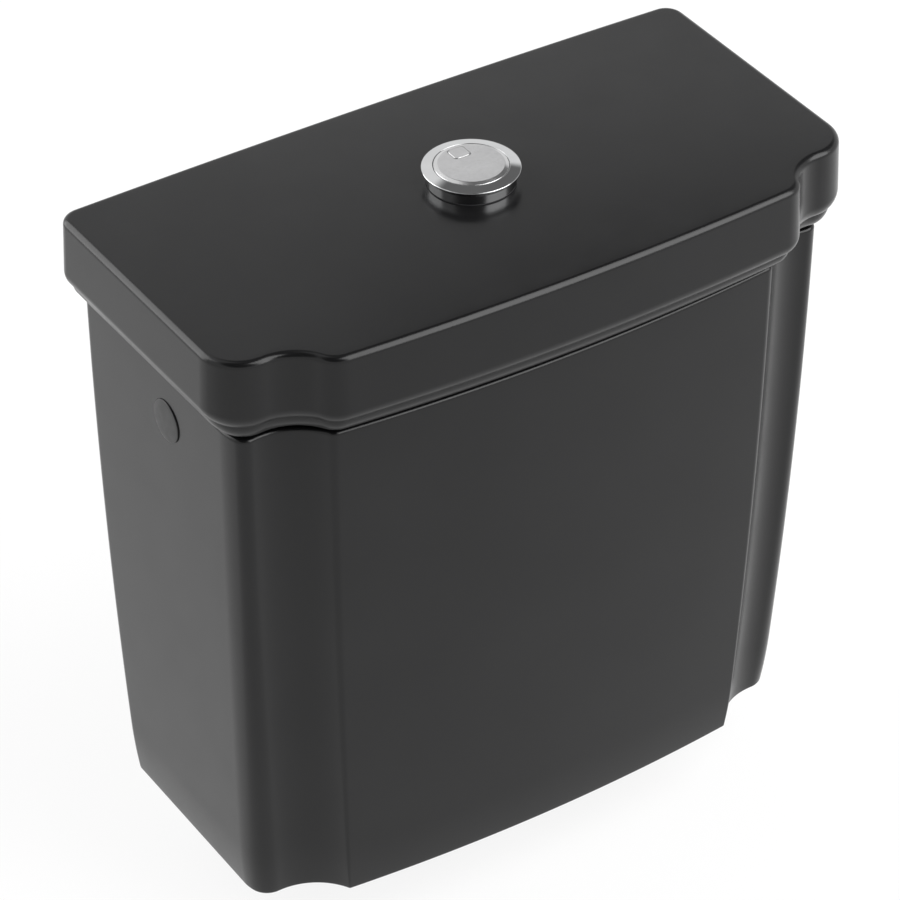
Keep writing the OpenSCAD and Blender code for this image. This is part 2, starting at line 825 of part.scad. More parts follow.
module half_flush_spring() {
    color(steel) translate([half_x, half_rod_y, 0]) coil_spring();
}

// Flush valve
module valve_base() {
    color(white_plastic)
        rotate_extrude()
            polygon([
                [tail_bore_r, -tail_l], [tail_end_r, -tail_l], [tail_end_r, tail_end_l - tail_l],
                [tail_r, tail_end_l - tail_l], [tail_r, flange_z], [flange_r, flange_z],
                [flange_r, flange_top_z], [seat_r, flange_top_z], [seat_r, seat_z - seat_lip],
                [seat_r - seat_lip, seat_z], [tail_bore_r + seat_lip, seat_z], [tail_bore_r, seat_z - seat_lip]
            ]);
}

module base_gasket() {
    color(rubber) ring(flange_r, tail_r + pin_gap, floor_z, flange_z);
}

module back_nut() {
    lug = 2.5;
    color(white_plastic)
        lugged_nut(back_nut_r, tail_r + pin_gap, 8, lug, foot_h, back_nut_t);
}

// Thick ring that seals the tail into the pan
module pan_seal() {
    seal_low = tail_end_l - tail_l;
    seal_high = foot_h - back_nut_t;
    seal_in = tail_r + pin_gap;
    nose = 5;
    shoulder = 3;
    color(rubber)
        rotate_extrude()
            polygon([
                [seal_in, seal_low], [back_nut_r - nose, seal_low],
                [back_nut_r + shoulder, mix(seal_low, seal_high, 0.5)],
                [back_nut_r + shoulder, seal_high], [seal_in, seal_high]
            ]);
}

// Cage over the seat, with four legs, and the sleeve that guides the overflow tube
module valve_tower() {
    guide_wall = 4;
    guide_half = strap_half + guide_wall;
    foot_top = flange_top_z + tower_foot_h;
    color(white_plastic)
        difference() {
            union() {
                ring(tower_r, seat_r + tower_foot_gap, flange_top_z, foot_top);
                for (a = [45 : 90 : 315])
                    rotate([0, 0, a])
                        block([tower_r - leg_t - over, -leg_w / 2, foot_top - over],
                              [tower_r - over, leg_w / 2, cage_z + over]);
                ring(tower_r, sleeve_r, cage_z, cage_z + tower_collar_t);
                ring(sleeve_r + sleeve_wall, sleeve_r, cage_z, tower_top_z);
                difference() {
                    union() {
                        block([-post_out, -post_half, tower_top_z - tower_collar_t],
                              [post_out, post_half, tower_top_z]);
                        block([half_x - guide_half, half_bar_y - guide_half, tower_top_z - tower_collar_t],
                              [half_x + guide_half, 0, tower_top_z]);
                    }
                    translate([0, 0, tower_top_z - tower_collar_t - over])
                        cylinder(r = sleeve_r, h = tower_collar_t + 2 * over);
                }
            }
            block([half_x - link_w / 2 - slide_gap, half_bar_y - link_w / 2 - slide_gap,
                   tower_top_z - tower_collar_t - over],
                  [half_x + link_w / 2 + slide_gap, half_bar_y + link_w / 2 + slide_gap, tower_top_z + over]);
        }
}

// Ear that holds one rocker pin
module pin_ear(x0, x1, y) {
    difference() {
        union() {
            block([x0, y - ear_half, bridge_z - over], [x1, y + ear_half, rocker_z]);
            translate([x0, y, rocker_z]) rotate([0, 90, 0]) cylinder(r = ear_half, h = x1 - x0);
        }
        translate([x0 - over, y, rocker_z])
            rotate([0, 90, 0]) cylinder(r = rocker_pin_r + pin_gap, h = x1 - x0 + 2 * over);
    }
}

full_ear_x = full_x + rocker_w / 2 + ear_gap;
half_ear_x = half_x - rocker_w / 2 - ear_gap;

module actuator_bracket() {
    color(blue_plastic) {
        for (side = [-1, 1])
            block([min(side * post_in, side * post_out), -post_half, tower_top_z],
                  [max(side * post_in, side * post_out), post_half, bridge_z]);
        block([-post_out, -bridge_half_y, bridge_z - bridge_t], [post_out, bridge_half_y, bridge_z]);
        pin_ear(full_ear_x, full_ear_x + ear_t, full_pin_y);
        pin_ear(half_ear_x - ear_t, half_ear_x, half_pin_y);
    }
}

// One pin along X, with a head past its ear
module rocker_pin(from, to, y, head) {
    head_lip = 1.5;
    head_t = 2;
    translate([min(from, to), y, rocker_z]) rotate([0, 90, 0]) cylinder(r = rocker_pin_r, h = abs(to - from));
    translate([head > 0 ? max(from, to) : min(from, to) - head_t, y, rocker_z])
        rotate([0, 90, 0]) cylinder(r = rocker_pin_r + head_lip, h = head_t);
}

module rocker_pins() {
    color(steel) {
        rocker_pin(full_x - rocker_w / 2, full_ear_x + ear_t, full_pin_y, 1);
        rocker_pin(half_x + rocker_w / 2, half_ear_x - ear_t, half_pin_y, -1);
    }
}

// Rocker from its push pad to its lifting end; way is the side of the lifting end
module rocker(x, pin_y, way) {
    low_y = pin_y - (way > 0 ? push_arm : lift_arm) - rocker_end;
    high_y = pin_y + (way > 0 ? lift_arm : push_arm) + rocker_end;
    difference() {
        union() {
            block([x - rocker_w / 2, low_y, rocker_z - rocker_t / 2],
                  [x + rocker_w / 2, high_y, rocker_z + rocker_t / 2]);
            translate([x - rocker_w / 2, pin_y, rocker_z])
                rotate([0, 90, 0]) cylinder(r = rocker_boss_r, h = rocker_w);
        }
        translate([x - rocker_w / 2 - over, pin_y, rocker_z])
            rotate([0, 90, 0]) cylinder(r = rocker_pin_r + pin_gap, h = rocker_w + 2 * over);
    }
}

module full_flush_rocker() {
    color(blue_plastic) rocker(full_x, full_pin_y, 1);
}

module half_flush_rocker() {
    color(blue_plastic) rocker(half_x, half_pin_y, -1);
}

module overflow_tube() {
    color(white_plastic) {
        ring(tube_r, tube_r - tube_wall, seat_z - clamp_t, tube_top_z);
        ring(clamp_r, tube_r - tube_wall, seat_z + seal_t, seat_z + seal_t + tube_foot_t);
    }
}

module seat_seal() {
    color(rubber) ring(seal_r, tube_r + pin_gap, seat_z, seat_z + seal_t);
}

module seal_clamp() {
    color(grey_plastic) ring(clamp_r, tube_r + pin_gap, seat_z - clamp_t, seat_z);
}

// Ring float, open below
module hollow_float(r_out, r_in, low, high) {
    difference() {
        ring(r_out, r_in, low, high);
        ring(r_out - float_wall, r_in + float_wall, low - over, high - float_wall);
    }
}

// Float that holds the tube up until the tank is nearly empty
module full_flush_float() {
    low = seat_z + seal_t + tube_foot_t;
    color(grey_plastic) hollow_float(full_float_r, tube_r + pin_gap, low, low + full_float_h);
}

// Two straps that carry a bar over a rocker's lifting end
module bar_straps(x, y, foot) {
    inner = rocker_w / 2 + strap_gap;
    for (side = [-1, 1])
        block([x + (side > 0 ? inner : -inner - strap_t), y - strap_half, foot],
              [x + (side > 0 ? inner + strap_t : -inner), y + strap_half, bar_z + strap_above]);
    translate([x - inner - strap_t, y, bar_z])
        rotate([0, 90, 0]) cylinder(r = bar_r, h = 2 * (inner + strap_t));
}

module lift_yoke() {
    half = rocker_w / 2 + strap_gap + strap_t;
    low = tube_top_z - yoke_h;
    color(blue_plastic) {
        difference() {
            union() {
                translate([0, 0, low]) cylinder(r = tube_r + yoke_ring_t, h = yoke_h);
                block([full_x - half, 0, low], [full_x + half, full_bar_y + strap_half, tube_top_z]);
            }
            translate([0, 0, low - over]) cylinder(r = tube_r + pin_gap, h = yoke_h + 2 * over);
        }
        bar_straps(full_x, full_bar_y, low);
    }
}

module half_flush_link() {
    half = rocker_w / 2 + strap_gap + strap_t;
    joint_z = rocker_z - strap_drop;
    color(blue_plastic) {
        bar_straps(half_x, half_bar_y, joint_z - strap_drop);
        block([half_x - half, half_bar_y - strap_half, joint_z - strap_drop],
              [half_x + half, half_bar_y + strap_half, joint_z - strap_half]);
        block([half_x - link_w / 2, half_bar_y - link_w / 2, half_float_z],
              [half_x + link_w / 2, half_bar_y + link_w / 2, joint_z - strap_half]);
    }
}

module half_flush_float() {
    size = half_float_size;
    hole = link_w + 2 * pin_gap;
    socket = hole + 2 * float_wall;
    color(grey_plastic)
        translate([half_x, half_bar_y, half_float_z])
            difference() {
                linear_extrude(size[2]) rounded_square(size[0], size[1], half_float_corner);
                translate([0, 0, -over])
                    linear_extrude(size[2] - float_wall + over)
                        difference() {
                            square([size[0] - 2 * float_wall, size[1] - 2 * float_wall], center = true);
                            square(socket, center = true);
                        }
                translate([0, 0, -over])
                    linear_extrude(size[2] + 2 * over) square(hole, center = true);
            }
}

// Fill valve, on the right wall
module fill_valve_body() {
    inside_x = spot_in_x - fitting_seal_t;
    end_x = nut_x + inlet_nut_t + shank_free_l;
    color(white_plastic)
        difference() {
            union() {
                at_side(1, inside_x - over) cylinder(r = shank_r, h = nut_x + inlet_nut_t - inside_x + over);
                at_side(1, nut_x + inlet_nut_t - over) cylinder(r = shank_end_r, h = shank_free_l + over);
                at_side(1, inside_x - fitting_flange_t) cylinder(r = fitting_r, h = fitting_flange_t);
                at_side(1, head_x) cylinder(r = barrel_r, h = inside_x - head_x - over);
                translate([head_x, inlet_y, head_low_z]) cylinder(r = head_r, h = head_top_z - head_low_z);
            }
            at_side(1, head_x) cylinder(r = shank_bore_r, h = end_x - head_x + over);
            translate([head_x, inlet_y, head_low_z - over])
                cylinder(r = shank_bore_r, h = head_top_z - head_low_z + 2 * over);
        }
}

module inlet_seal() {
    color(rubber) at_side(1, spot_in_x) ring(fitting_r, shank_r + pin_gap, -fitting_seal_t, 0);
}

module inlet_nut() {
    color(white_plastic)
        at_side(1, nut_x)
            difference() {
                cylinder(r = side_nut_r, h = inlet_nut_t, $fn = 6);
                translate([0, 0, -over]) cylinder(r = shank_r + pin_gap, h = inlet_nut_t + 2 * over);
            }
}

// Strainer cup pushed into the shank's bore
module inlet_filter() {
    filter_l = 18;
    filter_wall = 1;
    slit_w = 2;
    slit_h = 3;
    slit_rows = [4, 9];
    filter_r = shank_bore_r - pin_gap;
    color(grey_plastic)
        at_side(1, nut_x + inlet_nut_t + shank_free_l - filter_l)
            difference() {
                cylinder(r = filter_r, h = filter_l);
                translate([0, 0, filter_wall]) cylinder(r = filter_r - filter_wall, h = filter_l);
                for (a = [0, 60, 120], z = slit_rows)
                    rotate([0, 0, a])
                        translate([-filter_r - over, -slit_w / 2, z]) cube([2 * (filter_r + over), slit_w, slit_h]);
            }
}

module valve_cap() {
    ear_in = lever_half + slide_gap;
    color(blue_plastic)
        translate([head_x, inlet_y, 0])
            difference() {
                union() {
                    translate([0, 0, head_top_z]) cylinder(r = head_r, h = cap_h);
                    for (side = [-1, 1])
                        translate([lever_x - head_x, side > 0 ? ear_in : -ear_in - lever_ear_t, 0])
                            union() {
                                block([-lever_ear_half, 0, head_top_z + cap_h - over],
                                      [lever_ear_half, lever_ear_t, lever_z]);
                                translate([0, 0, lever_z])
                                    rotate([-90, 0, 0]) cylinder(r = lever_ear_half, h = lever_ear_t);
                            }
                }
                translate([0, 0, head_top_z - over])
                    cylinder(r = head_r - cap_wall, h = diaphragm_t + over);
                translate([lever_x - head_x, -ear_in - lever_ear_t - over, lever_z])
                    rotate([-90, 0, 0])
                        cylinder(r = lever_pin_r + pin_gap, h = 2 * (ear_in + lever_ear_t + over));
            }
}

module diaphragm() {
    color(rubber)
        translate([head_x, inlet_y, head_top_z]) cylinder(r = head_r - cap_wall - pin_gap, h = diaphragm_t);
}

module float_lever() {
    color(white_plastic)
        difference() {
            union() {
                block([rod_x - lever_end, inlet_y - lever_half, lever_z - lever_t / 2],
                      [lever_x, inlet_y + lever_half, lever_z + lever_t / 2]);
                translate([lever_x, inlet_y - lever_half, lever_z])
                    rotate([-90, 0, 0]) cylinder(r = lever_ear_half, h = 2 * lever_half);
            }
            translate([lever_x, inlet_y - lever_half - over, lever_z])
                rotate([-90, 0, 0]) cylinder(r = lever_pin_r + pin_gap, h = 2 * (lever_half + over));
            block([rod_x - lever_end - over, inlet_y - lever_slot, lever_z - lever_t],
                  [rod_x + lever_slot_start, inlet_y + lever_slot, lever_z + lever_t]);
        }
}

module lever_pin() {
    half = lever_half + slide_gap + lever_ear_t;
    color(steel)
        translate([lever_x, inlet_y - half, lever_z]) rotate([-90, 0, 0]) cylinder(r = lever_pin_r, h = 2 * half);
}

// Quiet fill tube under the head, which also guides the float
module fill_tube() {
    low = head_low_z - fill_tube_l;
    color(white_plastic)
        translate([head_x, inlet_y, 0])
            difference() {
                ring(fill_tube_r, fill_tube_r - fill_tube_wall, low, head_low_z);
                for (a = [0, 90])
                    rotate([0, 0, a])
                        translate([-fill_tube_r - over, -tube_slit_w / 2, low + tube_slit_low])
                            cube([2 * (fill_tube_r + over), tube_slit_w, tube_slit_h]);
            }
}

module float_cup() {
    color(grey_plastic)
        translate([head_x, inlet_y, 0])
            hollow_float(float_r, fill_tube_r + slide_gap, float_top_z - float_h, float_top_z);
}

// Rod from the float up through the lever's fork, with a head that rests on the fork
module adjuster_rod() {
    head_z = lever_z + lever_t / 2 + touch_gap;
    color(steel)
        translate([rod_x, inlet_y, 0]) {
            translate([0, 0, float_top_z]) cylinder(r = adjuster_r, h = head_z + adjuster_head_t - float_top_z);
            translate([0, 0, head_z]) cylinder(r = adjuster_head_r, h = adjuster_head_t);
        }
}

// Blanking plug, on the left wall
plug_stem_gap = 1.5;
plug_stem_r = side_hole_r - plug_stem_gap;
plug_stem_l = 12;
plug_nut_t = 6;

module blanking_plug() {
    dome = 0.6;
    stem_in = spot_in_x - plug_stem_l;
    color(glaze)
        at_side(-1, plug_x)
            rotate_extrude()
                polygon([
                    [0, stem_in - plug_x], [plug_stem_r, stem_in - plug_x], [plug_stem_r, 0],
                    [plug_r, 0], [plug_r, plug_t - dome], [plug_r - dome, plug_t - dome / 3], [0, plug_t]
                ]);
}

module plug_seal() {
    color(rubber) at_side(-1, spot_in_x) ring(fitting_r, plug_stem_r + pin_gap, -fitting_seal_t, 0);
}

module plug_nut() {
    color(white_plastic)
        at_side(-1, spot_in_x - fitting_seal_t - plug_nut_t)
            difference() {
                cylinder(r = side_nut_r, h = plug_nut_t, $fn = 6);
                translate([0, 0, -over]) cylinder(r = plug_stem_r + pin_gap, h = plug_nut_t + 2 * over);
            }
}

// Pan bolts
module coupling_bolts() {
    color(brass)
        at_bolts() {
            translate([0, 0, bolt_head_z]) cylinder(r = bolt_head_r, h = bolt_head_t, $fn = 6);
            translate([0, 0, bolt_step_z]) cylinder(r = bolt_r, h = bolt_head_z - bolt_step_z + over);
            translate([0, 0, -bolt_drop]) cylinder(r = bolt_end_r, h = bolt_drop + bolt_step_z + over);
        }
}

module bolt_seals() {
    color(rubber) at_bolts() ring(bolt_washer_r, bolt_r + pin_gap, floor_z, floor_z + bolt_seal_t);
}

module bolt_washers() {
    color(steel)
        at_bolts() {
            ring(bolt_washer_r, bolt_r + pin_gap, bolt_head_z - bolt_washer_t, bolt_head_z);
            ring(bolt_washer_r, bolt_r + pin_gap, foot_h - bolt_washer_t, foot_h);
        }
}

module bolt_nuts() {
    color(brass)
        at_bolts()
            difference() {
                translate([0, 0, bolt_nut_z]) cylinder(r = bolt_head_r, h = bolt_nut_t, $fn = 6);
                translate([0, 0, bolt_nut_z - over]) cylinder(r = bolt_r + pin_gap, h = bolt_nut_t + 2 * over);
            }
}

tank();
lid();
lid_buffers();
button_bezel();
bezel_gasket();
bezel_nut();
full_flush_button();
half_flush_button();
full_flush_rod();
half_flush_rod();
full_flush_spring();
half_flush_spring();
valve_base();
base_gasket();
back_nut();
pan_seal();
valve_tower();
actuator_bracket();
rocker_pins();
full_flush_rocker();
half_flush_rocker();
overflow_tube();
seat_seal();
seal_clamp();
full_flush_float();
lift_yoke();
half_flush_link();
half_flush_float();
fill_valve_body();
inlet_seal();
inlet_nut();
inlet_filter();
valve_cap();
diaphragm();
float_lever();
lever_pin();
fill_tube();
float_cup();
adjuster_rod();
blanking_plug();
plug_seal();
plug_nut();
coupling_bolts();
bolt_seals();
bolt_washers();
bolt_nuts();
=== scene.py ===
import json
import math
from collections import namedtuple

import bmesh
import bpy
from mathutils import Matrix, Vector


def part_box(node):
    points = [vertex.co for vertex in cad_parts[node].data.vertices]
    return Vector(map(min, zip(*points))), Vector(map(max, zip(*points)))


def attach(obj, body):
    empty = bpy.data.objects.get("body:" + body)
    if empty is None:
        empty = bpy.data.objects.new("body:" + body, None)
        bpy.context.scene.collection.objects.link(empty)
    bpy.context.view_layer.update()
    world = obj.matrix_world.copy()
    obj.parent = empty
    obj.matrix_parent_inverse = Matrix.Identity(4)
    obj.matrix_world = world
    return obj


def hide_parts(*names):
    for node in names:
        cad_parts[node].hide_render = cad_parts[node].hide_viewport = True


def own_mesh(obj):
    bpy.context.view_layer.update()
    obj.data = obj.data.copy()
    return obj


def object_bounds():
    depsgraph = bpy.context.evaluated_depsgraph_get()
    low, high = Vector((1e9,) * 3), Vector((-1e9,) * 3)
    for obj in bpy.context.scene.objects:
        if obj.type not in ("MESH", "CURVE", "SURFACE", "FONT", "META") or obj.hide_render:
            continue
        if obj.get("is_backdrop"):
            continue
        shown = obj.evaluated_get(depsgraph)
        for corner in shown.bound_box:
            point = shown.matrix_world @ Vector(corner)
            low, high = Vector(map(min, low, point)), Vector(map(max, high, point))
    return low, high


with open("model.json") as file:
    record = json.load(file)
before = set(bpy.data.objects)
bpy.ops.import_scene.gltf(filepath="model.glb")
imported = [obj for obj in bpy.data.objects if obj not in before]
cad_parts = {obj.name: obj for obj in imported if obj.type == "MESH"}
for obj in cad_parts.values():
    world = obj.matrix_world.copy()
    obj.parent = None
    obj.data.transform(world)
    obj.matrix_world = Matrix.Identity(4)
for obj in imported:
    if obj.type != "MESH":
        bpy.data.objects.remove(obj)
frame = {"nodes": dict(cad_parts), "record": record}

cad_low, cad_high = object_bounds()

# Lengths are in metres, angles in degrees. Sizes that the solids give are read from their boxes.
tank_low, tank_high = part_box("tank")
lid_low, lid_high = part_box("lid")
bezel_low, bezel_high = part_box("button_bezel")
disc_low, disc_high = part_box("full_flush_button")
half_low, half_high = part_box("half_flush_button")
plug_low, plug_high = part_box("blanking_plug")

# Tank
RIM_Z = tank_high.z
SIDE_TAPER = 0.009
FRONT_TAPER = 0.0094
CORNER_TAPER = 0.0092
BACK_TAPER = 0.0118
SCALLOP_GROWTH = 0.0008
CORNER_GROWTH = 0.006
BEND_LOSS = 0.022
BEND_ANGLE = math.radians(17)
EDGE_LOSS = 0.004
WALL_BULGE = 0.77
BASE_ROUND = 0.0015
BASE_ROUND_H = 0.033
WALL_T = 0.009
FLOOR_Z = 0.025
FLOOR_FILLET = 0.012
FOOT_H = 0.014
FOOT_W = 0.010
FOOT_EDGE = 0.0012
RECESS_DRAFT = 0.002
RIM_ROUND = 0.0025
OUTER_LEAST_R = 0.001
INNER_LEAST_R = 0.006

# Holes in the tank
OUTLET_R = 0.032
BOLT_X = 0.075
BOLT_HOLE_R = 0.005
SIDE_HOLE_R = 0.009
SIDE_Y = (plug_low.y + plug_high.y) / 2
SIDE_Z = (plug_low.z + plug_high.z) / 2
SPOT_IN_R = 0.0123
PLUG_SPOT_R = 0.0128
NUT_SPOT_R = 0.0143
SCREW_X = 0.125
SCREW_Z = 0.289
SCREW_HOLE_R = 0.0035

# Lid
LID_GAP = 0.004
LID_H = 0.051
LID_CROWN = 0.0023
LID_DOME = 0.00135
LID_ROUND = 0.0038
LID_FLARE = 0.001
LID_OVER = 0.0132
LOWER_ROUND = 0.0105
LOWER_END = 52
BEAD_STEP = 0.0006
BEAD_H = 0.010
LID_T = 0.011
LIP_H = 0.008
LIP_T = 0.007
LIP_INSET = 0.0105
LIP_ROUND = 0.002
LID_FILLET = 0.008
BUTTON_HOLE_R = 0.020
SEAT_R = 0.0244
SEAT_CUT = 0.0002
LID_Z = RIM_Z + LID_GAP
LID_EDGE_Z = LID_Z + LID_H
LID_TOP_Z = LID_EDGE_Z + LID_CROWN + LID_DOME
LID_UNDER_Z = LID_EDGE_Z - LID_T

Outline = namedtuple(
    "Outline", "half_w back corner front scallop_x scallop_r bow_r back_r corner_r edge_r bend"
)
RIM_LINE = Outline(
    half_w=tank_high.x, back=tank_high.y, corner=0.0661, front=-tank_low.y,
    scallop_x=tank_high.x - 0.0156, scallop_r=0.0354, bow_r=1.25,
    back_r=0.008, corner_r=0.0075, edge_r=0.0065, bend=0.036,
)
FOOT_LINE = Outline(
    half_w=RIM_LINE.half_w - SIDE_TAPER,
    back=RIM_LINE.back - BACK_TAPER,
    corner=RIM_LINE.corner - CORNER_TAPER,
    front=RIM_LINE.front - FRONT_TAPER,
    scallop_x=RIM_LINE.scallop_x - SIDE_TAPER,
    scallop_r=RIM_LINE.scallop_r + SCALLOP_GROWTH,
    bow_r=RIM_LINE.bow_r,
    back_r=RIM_LINE.back_r,
    corner_r=RIM_LINE.corner_r + CORNER_GROWTH,
    edge_r=RIM_LINE.edge_r - EDGE_LOSS,
    bend=RIM_LINE.bend - BEND_LOSS,
)
LID_LINE = Outline(
    half_w=lid_high.x, back=lid_high.y, corner=0.0784, front=-lid_low.y,
    scallop_x=lid_high.x - 0.026, scallop_r=0.026, bow_r=1.5,
    back_r=0.012, corner_r=0.0255, edge_r=0.018, bend=0,
)

# Steps along each stretch of an outline
BACK_STEPS = 16
CORNER_STEPS = 10
BEND_STEPS = 6
SIDE_STEPS = 10
SCALLOP_STEPS = 22
EDGE_STEPS = 8
BOW_STEPS = 18

# Rings of the lid's top, as shares of its outline
TOP_SHARES = (0.07, 0.2, 0.35, 0.5, 0.65, 0.8, 0.9, 0.96)

# Edges that turn by more than this look sharp
SHARP_ANGLE = math.radians(35)


def between(a, b, share):
    return Outline(*(p + (q - p) * share for p, q in zip(a, b)))


def inset(line, d, least=OUTER_LEAST_R):
    return Outline(
        half_w=line.half_w - d,
        back=line.back - d,
        corner=line.corner - d,
        front=line.front - d,
        scallop_x=line.scallop_x,
        scallop_r=line.scallop_r + d,
        bow_r=line.bow_r - d,
        back_r=max(line.back_r - d, least),
        corner_r=max(line.corner_r - d, least),
        edge_r=max(line.edge_r - d, least),
        bend=line.bend,
    )


def shares(steps):
    return [k / steps for k in range(steps + 1)]


def angles(steps, end=90):
    return [math.radians(end * share) for share in shares(steps)]


def arc(centre, r, start, end, steps):
    turns = [start + (end - start) * share for share in shares(steps)]
    return [centre + r * Vector((math.cos(a), math.sin(a))) for a in turns]


def straight(a, b, steps):
    return [a.lerp(b, share) for share in shares(steps)][1:-1]


def outline_points(line):
    """Points of an outline, clockwise from the middle of the back."""
    back_centre = Vector((line.half_w - line.back_r, line.back - line.back_r))
    scallop = Vector((line.scallop_x, -line.corner - line.scallop_r))
    # The corner's circle touches the side's bend from inside and the scallop from outside
    bend_x = line.half_w - line.corner_r - line.bend
    corner_x = bend_x + line.bend * math.cos(BEND_ANGLE)
    rise = math.sqrt((line.scallop_r + line.corner_r) ** 2 - (corner_x - line.scallop_x) ** 2)
    corner_centre = Vector((corner_x, scallop.y + rise))
    to_scallop = math.atan2(-rise, line.scallop_x - corner_x)
    bend_centre = Vector((bend_x, corner_centre.y + line.bend * math.sin(BEND_ANGLE)))
    bow = Vector((0, line.bow_r - line.front))
    # The edge's circle touches the scallop from outside and the bow from inside
    reach = line.scallop_r + line.edge_r
    depth = line.bow_r - line.edge_r
    span = (bow - scallop).length
    along = (reach * reach - depth * depth + span * span) / (2 * span)
    across = math.sqrt(reach * reach - along * along)
    unit = (bow - scallop) / span
    edge = scallop + along * unit + across * Vector((-unit.y, unit.x))
    to_edge = math.atan2(edge.y - scallop.y, edge.x - scallop.x)
    to_front = math.atan2(edge.y - bow.y, edge.x - bow.x)
    quarter = math.pi / 2
    back_corner = arc(back_centre, line.back_r, quarter, 0, CORNER_STEPS)
    side_bend = arc(bend_centre, line.corner_r + line.bend, 0, -BEND_ANGLE, BEND_STEPS)
    front_corner = arc(corner_centre, line.corner_r, -BEND_ANGLE, to_scallop, CORNER_STEPS)
    middle = Vector((0, line.back))
    right = [middle] + straight(middle, back_corner[0], BACK_STEPS) + back_corner
    right += straight(back_corner[-1], side_bend[0], SIDE_STEPS) + side_bend + front_corner[1:]
    right += arc(scallop, line.scallop_r, to_scallop + math.pi, to_edge, SCALLOP_STEPS)[1:]
    right += arc(edge, line.edge_r, to_edge - math.pi, to_front, EDGE_STEPS)[1:]
    right += arc(bow, line.bow_r, to_front, -quarter, BOW_STEPS)[1:]
    return right + [Vector((-p.x, p.y)) for p in right[-2:0:-1]]


def level(line, z):
    """An outline's ring at one height."""
    return [Vector((p.x, p.y, z)) for p in outline_points(line)]


def crowned(line, z, share=1):
    """A ring that follows the lid's rounded top, drawn in towards the middle by a share."""
    ring = []
    for p in outline_points(line):
        x, y = share * p
        across = 1 - (x / LID_LINE.half_w) ** 2
        along = 1 - (y / (LID_LINE.back if y > 0 else LID_LINE.front)) ** 2
        ring.append(Vector((x, y, z + LID_CROWN * across + LID_DOME * across * along)))
    return ring


def moulding(d):
    """The lid's lower edge, which runs in from its face to the tank's rim."""
    return between(LID_LINE, RIM_LINE, d / LID_OVER)


def wall_line(z):
    s = 1 - z / RIM_Z
    return between(RIM_LINE, FOOT_LINE, (1 - WALL_BULGE) * s + WALL_BULGE * s * s)


def outer_line(z):
    return inset(wall_line(z), BASE_ROUND * max(0, 1 - z / BASE_ROUND_H) ** 2)


def inner_line(z):
    return inset(wall_line(z), WALL_T, INNER_LEAST_R)


def lofted(rings):
    """Skin drawn from ring to ring, closed over its first and last one."""
    bm = bmesh.new()
    loop = [bm.verts.new(p) for p in rings[0]]
    edges = [bm.edges.new(pair) for pair in zip(loop, loop[1:] + loop[:1])]
    bmesh.ops.contextual_create(bm, geom=edges)
    for ring in rings[1:]:
        grown = bmesh.ops.extrude_edge_only(bm, edges=edges)["geom"]
        new = {g for g in grown if isinstance(g, bmesh.types.BMVert)}
        loop = [
            next(e.other_vert(v) for e in v.link_edges if e.other_vert(v) in new) for v in loop
        ]
        edges = [
            g for g in grown
            if isinstance(g, bmesh.types.BMEdge) and g.verts[0] in new and g.verts[1] in new
        ]
        for v, p in zip(loop, ring):
            v.co = p
    bmesh.ops.contextual_create(bm, geom=edges)
    bmesh.ops.recalc_face_normals(bm, faces=bm.faces)
    return bm


def turned(profile, steps=128):
    """Closed profile of (radius, height) points, turned about the vertical axis."""
    bm = bmesh.new()
    line = [bm.verts.new((r, 0, z)) for r, z in profile]
    edges = [bm.edges.new(pair) for pair in zip(line, line[1:] + line[:1])]
    on_axis = [e for e in edges if e.verts[0].co.x == 0 and e.verts[1].co.x == 0]
    bmesh.ops.delete(bm, geom=on_axis, context="EDGES_FACES")
    bmesh.ops.spin(
        bm, geom=bm.verts[:] + bm.edges[:], cent=(0, 0, 0), axis=(0, 0, 1),
        angle=math.tau, steps=steps, use_merge=True,
    )
    bmesh.ops.remove_doubles(bm, verts=bm.verts, dist=1e-6)
    bmesh.ops.recalc_face_normals(bm, faces=bm.faces)
    return bm


def soften(bm, width, segments=3, least=25):
    """Rounds the edges that turn by more than the least angle."""
    sharp = [
        e for e in bm.edges
        if len(e.link_faces) == 2 and math.degrees(e.calc_face_angle()) > least
    ]
    bmesh.ops.bevel(
        bm, geom=sharp, offset=width, offset_type="OFFSET", segments=segments,
        profile=0.5, affect="EDGES", clamp_overlap=True, material=-1,
    )
    bmesh.ops.recalc_face_normals(bm, faces=bm.faces)


def drill(bm, place, r, low, high, steps=64):
    """Adds a cylinder along a place's own vertical axis."""
    bmesh.ops.create_cone(
        bm, cap_ends=True, segments=steps, radius1=r, radius2=r, depth=high - low,
        matrix=place @ Matrix.Translation((0, 0, (low + high) / 2)),
    )


def stepped_drill(bm, place, profile, steps=96):
    """Adds a turned cutter along a place's own vertical axis."""
    cutter = turned(profile, steps)
    cutter.transform(place)
    mesh = bpy.data.meshes.new("cutter")
    cutter.to_mesh(mesh)
    cutter.free()
    bm.from_mesh(mesh)
    bpy.data.meshes.remove(mesh)


def cut(bm, cutters):
    """Takes the cutters out of a mesh."""
    objects = []
    for name, source in (("blank", bm), ("cutters", cutters)):
        mesh = bpy.data.meshes.new(name)
        source.to_mesh(mesh)
        source.free()
        obj = bpy.data.objects.new(name, mesh)
        bpy.context.scene.collection.objects.link(obj)
        objects.append(obj)
    blank, tool = objects
    step = blank.modifiers.new("cut", "BOOLEAN")
    step.operation = "DIFFERENCE"
    step.solver = "EXACT"
    step.object = tool
    graph = bpy.context.evaluated_depsgraph_get()
    result = bmesh.new()
    result.from_mesh(blank.evaluated_get(graph).to_mesh())
    for obj in objects:
        mesh = obj.data
        bpy.data.objects.remove(obj)
        bpy.data.meshes.remove(mesh)
    return result


